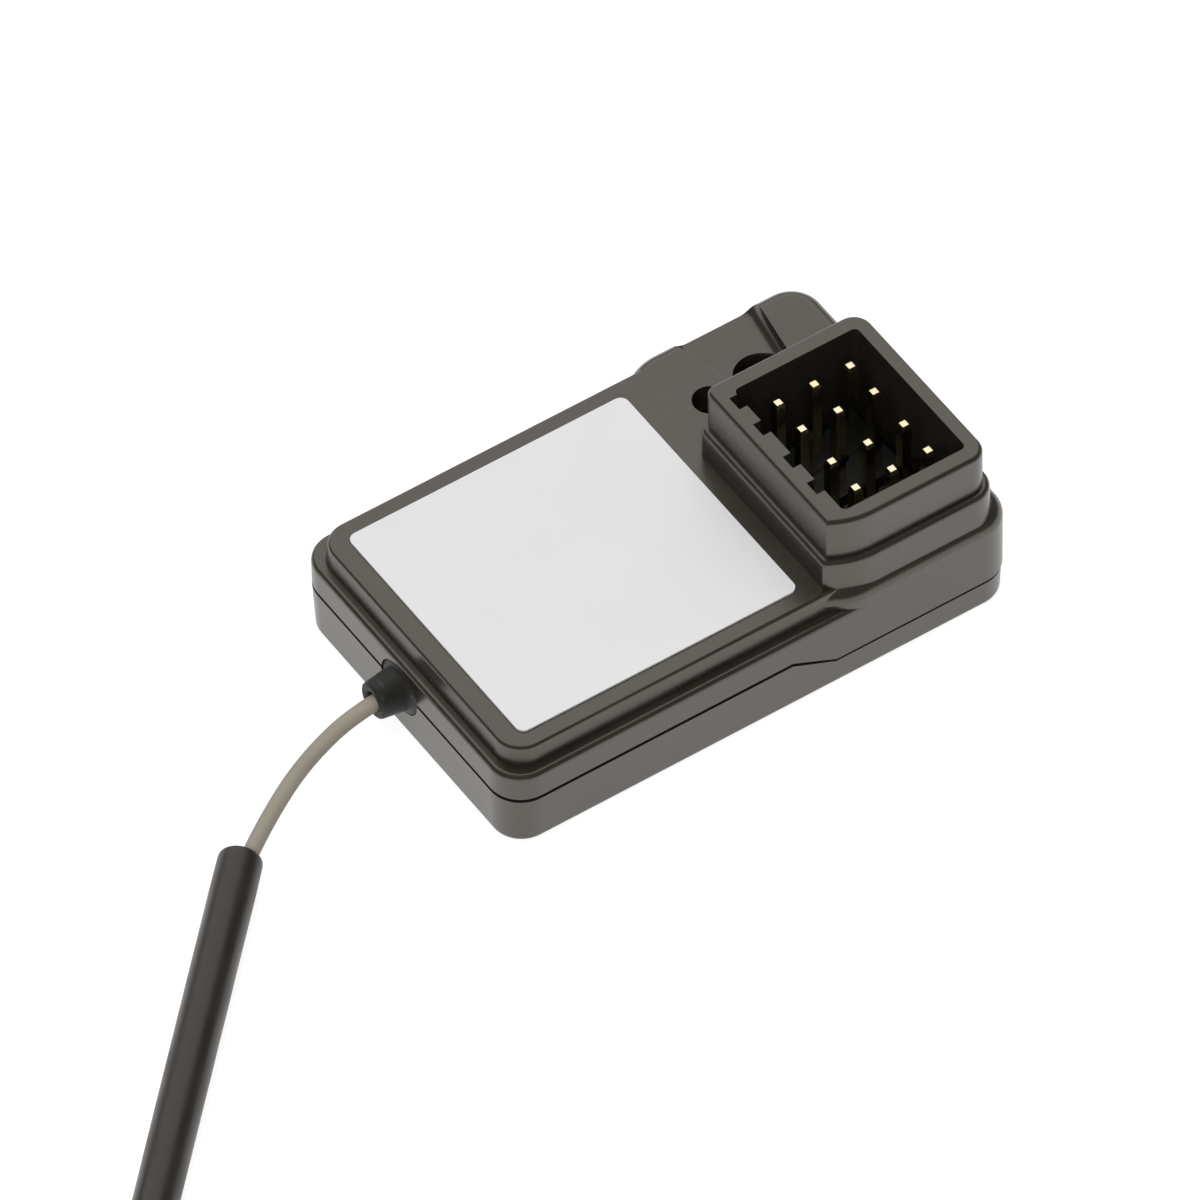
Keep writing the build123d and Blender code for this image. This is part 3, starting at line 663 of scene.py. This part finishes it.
@dataclass
class ServoHeaders:
    """Four rows of header pins in their moulded bases, and their joints."""

    channels: tuple[str, ...] = ("channel_1", "channel_2", "channel_3", "battery")
    joints: tuple[str, ...] = ("header_solder", "coax_solder")

    def dress(self, effects: EffectGroups) -> None:
        """Gives bases, pins and joints their finishes.

        Args:
            effects: the shared node groups.
        """
        plastic = HEADER_PLASTIC.build(effects)
        gold = PIN_GOLD.build(effects)
        for channel in self.channels:
            dress_solid(f"{channel}_base", plastic)
            dress_solid(f"{channel}_pins", gold)
        solder = SOLDER.build(effects)
        for joint in self.joints:
            dress_solid(joint, solder)


@dataclass
class BoardParts:
    """The circuit board and the parts on it."""

    chips: tuple[str, ...] = (
        "radio_chip",
        "microcontroller",
        "voltage_regulator",
        "chip_resistors",
    )
    ceramics: tuple[str, ...] = ("ceramic_capacitors", "matching_inductors")

    def dress(self, effects: EffectGroups) -> None:
        """Gives the board and its parts their finishes.

        Args:
            effects: the shared node groups.
        """
        dress_solid("circuit_board", SOLDER_MASK.build(effects))
        body = CHIP_BODY.build(effects)
        for chip in self.chips:
            dress_solid(chip, body)
        ceramic = FIRED_CERAMIC.build(effects)
        for part in self.ceramics:
            dress_solid(part, ceramic)
        dress_solid("input_capacitor", CAPACITOR_BODY.build(effects))
        dress_solid("radio_crystal", CAN_STEEL.build(effects))
        dress_solid("status_led", LIGHT_LENS.build(effects))


@dataclass
class Antenna:
    """The coaxial lead, the grommet that lets it out and the sleeve at its end.

    Profiles are half sections, as radius and distance along the axis in millimetres. The
    sleeve's heading is in degrees from +X.
    """

    diameter: float = 1.01 * MM
    length: float = 46.2 * MM
    route_mm: list[tuple[float, float, float]] = field(
        default_factory=lambda: [
            (-16.0, 0.5, 3.65),
            (-20.4, 0.5, 3.65),
            (-25.12, -0.64, 3.05),
            (-28.96, -2.32, 1.78),
            (-32.8, -5.02, 1.37),
            (-35.97, -8.2, 1.39),
            (-52.115, -24.86, 1.4),
        ]
    )
    grommet_root_mm: tuple[float, float, float] = (-16.2, 0.5, 3.65)
    grommet_profile_mm: list[tuple[float, float]] = field(
        default_factory=lambda: [
            (0.58, 0.0),
            (1.52, 0.0),
            (1.6, 0.08),
            (1.6, 0.6),
            (1.15, 0.6),
            (1.15, 1.2),
            (1.8, 1.2),
            (1.84, 1.24),
            (1.84, 1.4),
            (1.79, 1.48),
            (1.52, 1.52),
            (1.42, 1.6),
            (1.38, 1.93),
            (1.27, 2.75),
            (1.21, 3.22),
            (1.17, 3.36),
            (1.08, 3.43),
            (0.96, 3.45),
            (0.78, 3.43),
            (0.66, 3.36),
            (0.6, 3.22),
            (0.58, 3.0),
            (0.58, 0.0),
        ]
    )
    grommet_set: float = 0.015 * MM
    sleeve_mouth_mm: tuple[float, float, float] = (-31.454, -3.548, 1.39)
    sleeve_heading: float = 225.89
    sleeve_profile_mm: list[tuple[float, float]] = field(
        default_factory=lambda: [
            (0.0, 29.7),
            (0.565, 29.7),
            (0.565, 26.7),
            (1.08, 24.7),
            (1.08, 0.3),
            (1.09, 0.07),
            (1.125, 0.0),
            (1.24, 0.02),
            (1.32, 0.1),
            (1.35, 0.26),
            (1.37, 3.0),
            (1.36, 31.0),
            (1.32, 31.27),
            (1.2, 31.495),
            (1.0, 31.645),
            (0.745, 31.7),
            (0.0, 31.7),
        ]
    )
    sleeve_set: float = 0.02 * MM
    ring_spacing: float = 0.6 * MM
    unevenness: float = 340.0
    tube_smoothness: int = 8
    steps_between_points: int = 24

    def build(self, effects: EffectGroups) -> None:
        """Builds grommet, sleeve and lead, each with its finish.

        Args:
            effects: the shared node groups.
        """
        grommet = self._grommet(GROMMET_RUBBER.build(effects))
        sleeve = self._sleeve(SHRINK_SLEEVE.build(effects))
        self._lead(LEAD_JACKET.build(effects))

    def _grommet(self, rubber: bpy.types.Material) -> bpy.types.Object:
        """Turns the grommet with its flange, neck, collar and rolled lip.

        Args:
            rubber: its finish.

        Returns:
            The grommet.
        """
        shape = lathe(in_metres(self.grommet_profile_mm), self.ring_spacing)
        settle(shape, self.grommet_set, self.unevenness)
        place = facing(self.grommet_root_mm, Vector((-1.0, 0.0, 0.0)))
        grommet = place_mesh(shape, "rubber_grommet", place, rubber)
        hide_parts("antenna_grommet")
        return grommet

    def _sleeve(self, plastic: bpy.types.Material) -> bpy.types.Object:
        """Turns the sleeve, open at its mouth, domed at its end and slightly uneven.

        Args:
            plastic: its finish.

        Returns:
            The sleeve.
        """
        turn = math.radians(self.sleeve_heading)
        heading = Vector((math.cos(turn), math.sin(turn), 0.0))
        shape = lathe(in_metres(self.sleeve_profile_mm), self.ring_spacing)
        settle(shape, self.sleeve_set, self.unevenness)
        place = facing(self.sleeve_mouth_mm, heading)
        sleeve = place_mesh(shape, "shrunk_sleeve", place, plastic)
        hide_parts("antenna_sleeve")
        return sleeve

    def _lead(
        self, jacket: bpy.types.Material
    ) -> None:
        """Lays the lead as one smooth cord through its route.

        Args:
            jacket: the lead's finish.
        """
        curve = bpy.data.curves.new("coax_lead", "CURVE")
        curve.dimensions = "3D"
        curve.bevel_depth = self.diameter / 2
        curve.bevel_resolution = self.tube_smoothness
        curve.resolution_u = self.steps_between_points
        curve.use_fill_caps = True
        spline = curve.splines.new("NURBS")
        spline.points.add(len(self.route_mm) - 1)
        for point, place in zip(spline.points, self.route_mm):
            point.co = (*(Vector(place) * MM), 1.0)
        spline.order_u = 3
        spline.use_endpoint_u = True
        curve.materials.append(jacket)
        lead = bpy.data.objects.new("coax_lead", curve)
        bpy.context.scene.collection.objects.link(lead)
        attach(lead, ROOT_BODY)
        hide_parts("antenna_coax")
        log.info("laid %s over %d points", lead.name, len(spline.points))


@dataclass(frozen=True)
class Softbox:
    """A square lamp that faces the receiver, in metres.

    Its level is its brightness, where 1 is a white surface in full light. A fill doesn't
    show in reflections.
    """

    name: str
    place: tuple[float, float, float]
    size: float
    level: float
    is_fill: bool = False

    def hang(self) -> None:
        """Hangs the lamp in its place."""
        light = bpy.data.lights.new(self.name, "AREA")
        light.shape = "SQUARE"
        light.size = self.size
        light.energy = self.level * math.pi * self.size * self.size
        box = bpy.data.objects.new(self.name, light)
        bpy.context.scene.collection.objects.link(box)
        box.location = self.place
        box.visible_glossy = not self.is_fill
        box.rotation_mode = "QUATERNION"
        box.rotation_quaternion = (-Vector(self.place)).to_track_quat("-Z", "Y")


@dataclass
class Studio:
    """A pale floor, two softboxes and the camera at the photograph's angle.

    The camera's angles are in degrees, its distance and its clips in metres.
    """

    floor_size: float = 6.0
    floor_level: float = -0.02 * MM
    floor_albedo: float = 0.85
    white_share: float = 0.83
    shadow_share: float = 0.35
    world_level: float = 0.12
    rear: Softbox = Softbox("rear_softbox", (0.2, 0.47, 0.56), 1.05, 1.02)
    front: Softbox = Softbox("front_fill", (-0.36, -0.32, 0.74), 1.0, 2.1, is_fill=True)
    azimuth: float = -33.242
    elevation: float = 49.118
    roll: float = -1.007
    distance: float = 1.135323
    target_mm: tuple[float, float, float] = (-5.046, -1.525, 5.0)
    focal_mm: float = 586.34
    sensor_mm: float = 36.0
    near_clip: float = 0.05
    far_clip: float = 20.0

    def build(self) -> None:
        """Builds floor, world, lamps and camera."""
        self._floor()
        self._world()
        self.rear.hang()
        self.front.hang()
        self._camera()

    @staticmethod
    def _white_to(
        tree: bpy.types.NodeTree, kinds: tuple[RayKind, ...]
    ) -> bpy.types.NodeSocket:
        """A mask of the rays that see the studio white.

        Args:
            tree: the material's or world's tree.
            kinds: the rays that count.

        Returns:
            The mask's socket.
        """
        path = tree.nodes.new("ShaderNodeLightPath")
        mask = path.outputs[kinds[0].value]
        for kind in kinds[1:]:
            either = tree.nodes.new("ShaderNodeMath")
            either.operation = "MAXIMUM"
            tree.links.new(mask, either.inputs[0])
            tree.links.new(path.outputs[kind.value], either.inputs[1])
            mask = either.outputs[0]
        return mask

    def _floor(self) -> None:
        """Lays the floor, which shows white but keeps the receiver's shadow."""
        shape = bmesh.new()
        bmesh.ops.create_grid(
            shape, x_segments=1, y_segments=1, size=self.floor_size / 2
        )
        bmesh.ops.translate(shape, vec=(0.0, 0.0, self.floor_level), verts=shape.verts)
        mesh = bpy.data.meshes.new("studio_floor")
        shape.to_mesh(mesh)
        shape.free()
        material = bpy.data.materials.new("studio_floor")
        material.use_nodes = True
        tree = material.node_tree
        tree.nodes.remove(tree.nodes["Principled BSDF"])
        true_floor = tree.nodes.new("ShaderNodeBsdfDiffuse")
        true_floor.inputs["Color"].default_value = grey(self.floor_albedo)
        shown = tree.nodes.new("ShaderNodeBsdfDiffuse")
        shown.inputs["Color"].default_value = grey(self.shadow_share)
        white = tree.nodes.new("ShaderNodeEmission")
        white.inputs["Strength"].default_value = self.white_share
        both = tree.nodes.new("ShaderNodeAddShader")
        tree.links.new(shown.outputs[0], both.inputs[0])
        tree.links.new(white.outputs[0], both.inputs[1])
        choice = tree.nodes.new("ShaderNodeMixShader")
        tree.links.new(self._white_to(tree, tuple(RayKind)), choice.inputs[0])
        tree.links.new(true_floor.outputs[0], choice.inputs[1])
        tree.links.new(both.outputs[0], choice.inputs[2])
        output = tree.nodes["Material Output"]
        tree.links.new(choice.outputs[0], output.inputs["Surface"])
        mesh.materials.append(material)
        floor = bpy.data.objects.new("studio_floor", mesh)
        bpy.context.scene.collection.objects.link(floor)

    def _world(self) -> None:
        """Sets a dim even world that the camera sees as white."""
        world = bpy.data.worlds.new("studio")
        world.use_nodes = True
        tree = world.node_tree
        dim = tree.nodes["Background"]
        dim.inputs["Color"].default_value = grey(1.0)
        dim.inputs["Strength"].default_value = self.world_level
        white = tree.nodes.new("ShaderNodeBackground")
        white.inputs["Color"].default_value = grey(1.0)
        choice = tree.nodes.new("ShaderNodeMixShader")
        tree.links.new(self._white_to(tree, (RayKind.CAMERA,)), choice.inputs[0])
        tree.links.new(dim.outputs[0], choice.inputs[1])
        tree.links.new(white.outputs[0], choice.inputs[2])
        output = tree.nodes["World Output"]
        tree.links.new(choice.outputs[0], output.inputs["Surface"])
        bpy.context.scene.world = world

    def _camera(self) -> None:
        """Stands the camera where the photograph was taken from."""
        turn = math.radians(self.azimuth)
        rise = math.radians(self.elevation)
        back = Vector(
            (
                math.sin(turn) * math.cos(rise),
                -math.cos(turn) * math.cos(rise),
                math.sin(rise),
            )
        )
        camera = bpy.data.cameras.new("camera")
        camera.lens = self.focal_mm
        camera.sensor_width = self.sensor_mm
        camera.clip_start = self.near_clip
        camera.clip_end = self.far_clip
        stand = bpy.data.objects.new("camera", camera)
        bpy.context.scene.collection.objects.link(stand)
        stand.location = Vector(self.target_mm) * MM + back * self.distance
        right = Vector((math.cos(turn), math.sin(turn), 0.0))
        upward = back.cross(right)
        lean = math.radians(self.roll)
        rolled_right = right * math.cos(lean) + upward * math.sin(lean)
        rolled_up = upward * math.cos(lean) - right * math.sin(lean)
        axes = Matrix((rolled_right, rolled_up, back)).transposed()
        stand.rotation_mode = "QUATERNION"
        stand.rotation_quaternion = axes.to_quaternion()
        bpy.context.scene.camera = stand


def main() -> None:
    """Dresses the receiver and sets up the studio."""
    logging.basicConfig(level=logging.INFO, format="%(name)s: %(message)s")
    bpy.context.scene.view_settings.view_transform = "Standard"
    effects = EffectGroups()
    Studio().build()
    Antenna().build(effects)
    Enclosure().dress(effects)
    ServoHeaders().dress(effects)
    BoardParts().dress(effects)


if __name__ == "__main__":
    main()
